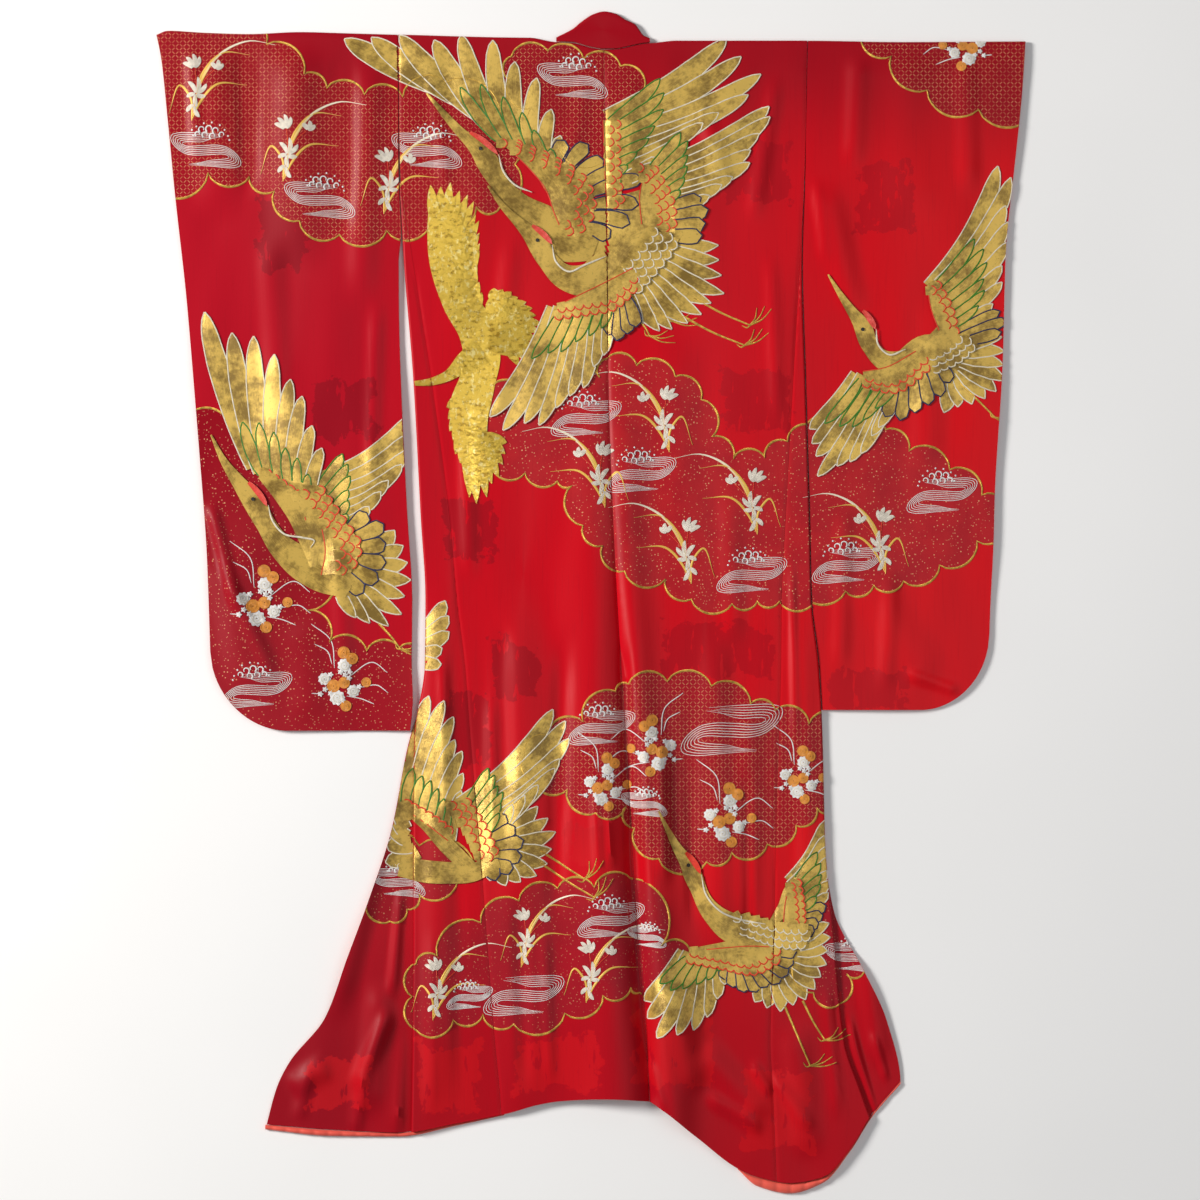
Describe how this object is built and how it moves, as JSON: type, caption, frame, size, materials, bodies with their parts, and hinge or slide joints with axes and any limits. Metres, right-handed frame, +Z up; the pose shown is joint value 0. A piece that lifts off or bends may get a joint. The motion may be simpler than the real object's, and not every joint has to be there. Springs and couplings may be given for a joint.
{
  "type": "uchikake wedding kimono",
  "caption": "Red satin uchikake wedding kimono with cranes and clouds, laid flat with its back up, long open sleeves and a padded hem.",
  "frame": {"origin": "middle of the garment's underside, where it lies on the surface", "axes": "+Y from the hem to the collar, +X to the right seen from above with the collar away, +Z up out of the surface"},
  "size_m": [1.3018, 1.7719, 0.0298],
  "materials": {
    "red_silk": "red silk satin with woven and embroidered figures",
    "hem_lining": "plain salmon silk, padded",
    "gold_work": "gold foil and gold thread laid on silk",
    "embroidery": "coloured silk thread"
  },
  "bodies": {
    "root": {"back_left": "red_silk", "back_right": "red_silk", "front_left": "red_silk", "front_left_turn": "red_silk", "front_right": "red_silk", "front_right_turn": "red_silk", "overlap_left": "red_silk", "overlap_right": "red_silk", "sleeve_left": "red_silk", "sleeve_right": "red_silk", "collar_neck": "red_silk", "collar_left": "red_silk", "collar_right": "red_silk", "hem_roll_left": "hem_lining", "hem_roll_right": "hem_lining"}
  },
  "joints": []
}
